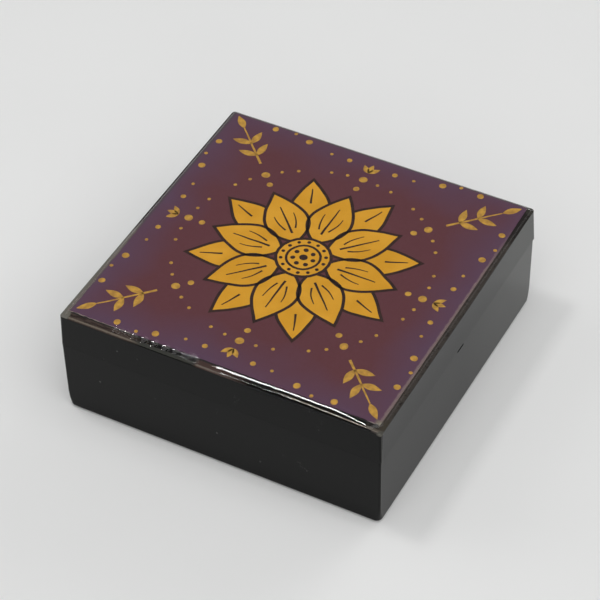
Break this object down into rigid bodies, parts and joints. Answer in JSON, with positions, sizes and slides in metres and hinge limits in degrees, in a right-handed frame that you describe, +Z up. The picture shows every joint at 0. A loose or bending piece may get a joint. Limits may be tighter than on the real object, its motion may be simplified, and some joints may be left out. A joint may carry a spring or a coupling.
{
  "type": "trinket box",
  "caption": "Low square lacquered wooden trinket box with a lift-off lid, a printed panel under a clear glossy coat, and a lined inside.",
  "frame": {"origin": "middle of the box's outline at the level that it rests on", "axes": "+Z up, along the lid's travel; the front wall, under the print's lower edge, faces -Y; the wall with the nail nick faces +X"},
  "size_m": [0.076, 0.076, 0.028],
  "materials": {
    "lacquer": "wood under black gloss lacquer",
    "liner": "thin wood, black satin stain",
    "board": "bare thin board",
    "flocked_lining": "flocked card, short velvet pile",
    "felt": "black wool felt",
    "printed_paper": "colour print on paper",
    "clear_resin": "poured clear resin, high gloss"
  },
  "bodies": {
    "base": {"base_wall_front": "lacquer", "base_wall_back": "lacquer", "base_wall_left": "lacquer", "base_wall_right": "lacquer", "liner_front": "liner", "liner_back": "liner", "liner_left": "liner", "liner_right": "liner", "floor_board": "board", "base_lining_card": "flocked_lining", "foot_felt": "felt"},
    "lid": {"lid_wall_front": "lacquer", "lid_wall_back": "lacquer", "lid_wall_left": "lacquer", "lid_wall_right": "lacquer", "lid_board": "board", "lid_lining_card": "flocked_lining", "picture_print": "printed_paper", "clear_coat": "clear_resin"}
  },
  "joints": [
    {"name": "lid_lift", "type": "slide", "parent": "base", "child": "lid", "axis": [0, 0, 1], "range_m": [0, 0.04]}
  ]
}
